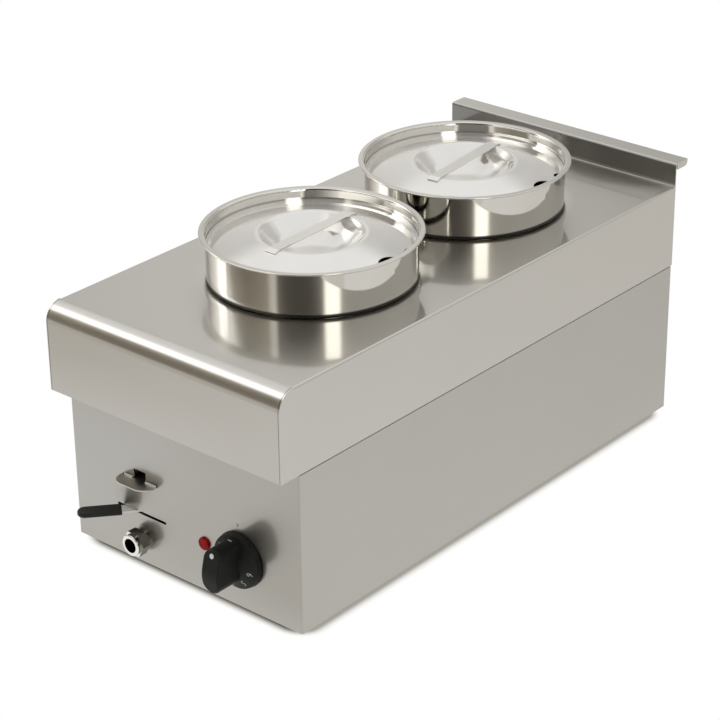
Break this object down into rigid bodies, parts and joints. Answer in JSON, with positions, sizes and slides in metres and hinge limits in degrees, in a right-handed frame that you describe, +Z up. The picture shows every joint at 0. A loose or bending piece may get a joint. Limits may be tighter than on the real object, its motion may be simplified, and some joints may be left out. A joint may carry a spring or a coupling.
{
  "type": "counter-top bain marie",
  "caption": "Counter-top wet-well food warmer in folded stainless sheet, with round lidded pots in its deck, a thermostat knob, a lamp and a lever-worked drain valve on the front.",
  "frame": {"origin": "middle of the whole object's plan at the counter under the feet", "axes": "+X to the right seen from the front, +Y from the control panel to the back, +Z up"},
  "size_m": [0.3, 0.6622, 0.3135],
  "materials": {
    "hob_steel": "satin stainless sheet, grain along the deck",
    "casing_steel": "satin stainless sheet",
    "back_steel": "plain mill-finish stainless sheet",
    "polished_steel": "mirror-polished stainless",
    "handle_steel": "polished stainless strap",
    "tank_steel": "dull stainless",
    "catch_steel": "satin stainless",
    "lever_steel": "zinc-plated steel strip",
    "screw_steel": "zinc-plated steel",
    "element_sheath": "dull heat-darkened metal tube",
    "valve_brass": "machined brass",
    "valve_chrome": "chrome plated",
    "drain_copper": "bright copper tube",
    "foot_rubber": "matt black rubber",
    "sleeve_black": "soft black dipped plastic",
    "knob_black": "satin black moulding",
    "lamp_red": "clear red moulded lens",
    "gland_black": "black nylon",
    "phenolic": "dark brown moulding",
    "block_white": "white nylon",
    "seat_white": "white PTFE"
  },
  "bodies": {
    "frame": {"hob_top": "hob_steel", "casing": "casing_steel", "rear_panel": "back_steel", "base_plate": "back_steel", "water_tank": "tank_steel", "trivet": "tank_steel", "catch_bracket": "catch_steel", "catch_pin": "catch_steel", "rear_screws": "screw_steel", "foot_screws": "screw_steel", "foot_nuts": "screw_steel", "thermostat_screws": "screw_steel", "heating_element": "element_sheath", "sensing_bulb": "element_sheath", "valve_body": "valve_brass", "valve_inlet": "valve_brass", "inlet_nut": "valve_brass", "tank_boss": "valve_brass", "element_nuts": "valve_brass", "bulb_gland": "valve_brass", "outlet_nut": "valve_chrome", "drain_pipe": "drain_copper", "feet": "foot_rubber", "neon_lens": "lamp_red", "cable_gland": "gland_black", "gland_locknut": "gland_black", "neon_clip": "gland_black", "thermostat_body": "phenolic", "neon_body": "phenolic", "terminal_block": "block_white", "ball_seats": "seat_white"},
    "front_pot": {"front_pot": "polished_steel"},
    "rear_pot": {"rear_pot": "polished_steel"},
    "front_lid": {"front_lid": "polished_steel", "front_lid_handle": "handle_steel"},
    "rear_lid": {"rear_lid": "polished_steel", "rear_lid_handle": "handle_steel"},
    "knob": {"control_knob": "knob_black", "thermostat_spindle": "screw_steel"},
    "drain_lever": {"drain_lever": "lever_steel", "lever_sleeve": "sleeve_black", "lever_nut": "lever_steel", "valve_stem": "valve_brass", "valve_ball": "valve_chrome"},
    "catch": {"catch_plate": "catch_steel"}
  },
  "joints": [
    {"name": "front_pot_lift", "type": "slide", "parent": "frame", "child": "front_pot", "axis": [0, 0, 1], "range_m": [0, 0.15]},
    {"name": "front_lid_lift", "type": "slide", "parent": "front_pot", "child": "front_lid", "axis": [0, 0, 1], "range_m": [0, 0.06]},
    {"name": "rear_pot_lift", "type": "slide", "parent": "frame", "child": "rear_pot", "axis": [0, 0, 1], "range_m": [0, 0.15]},
    {"name": "rear_lid_lift", "type": "slide", "parent": "rear_pot", "child": "rear_lid", "axis": [0, 0, 1], "range_m": [0, 0.06]},
    {"name": "knob_turn", "type": "hinge", "parent": "frame", "child": "knob", "pos_m": [0.0725, -0.28889, 0.0585], "axis": [0, 1, 0], "range_deg": [0, 258]},
    {"name": "drain_lever_turn", "type": "hinge", "parent": "frame", "child": "drain_lever", "pos_m": [-0.058, -0.27249, 0.0607], "axis": [0, 0, 1], "range_deg": [-4, 86]},
    {"name": "catch_lift", "type": "hinge", "parent": "frame", "child": "catch", "pos_m": [-0.058, -0.26389, 0.1053], "axis": [-1, 0, 0], "range_deg": [0, 15]}
  ]
}
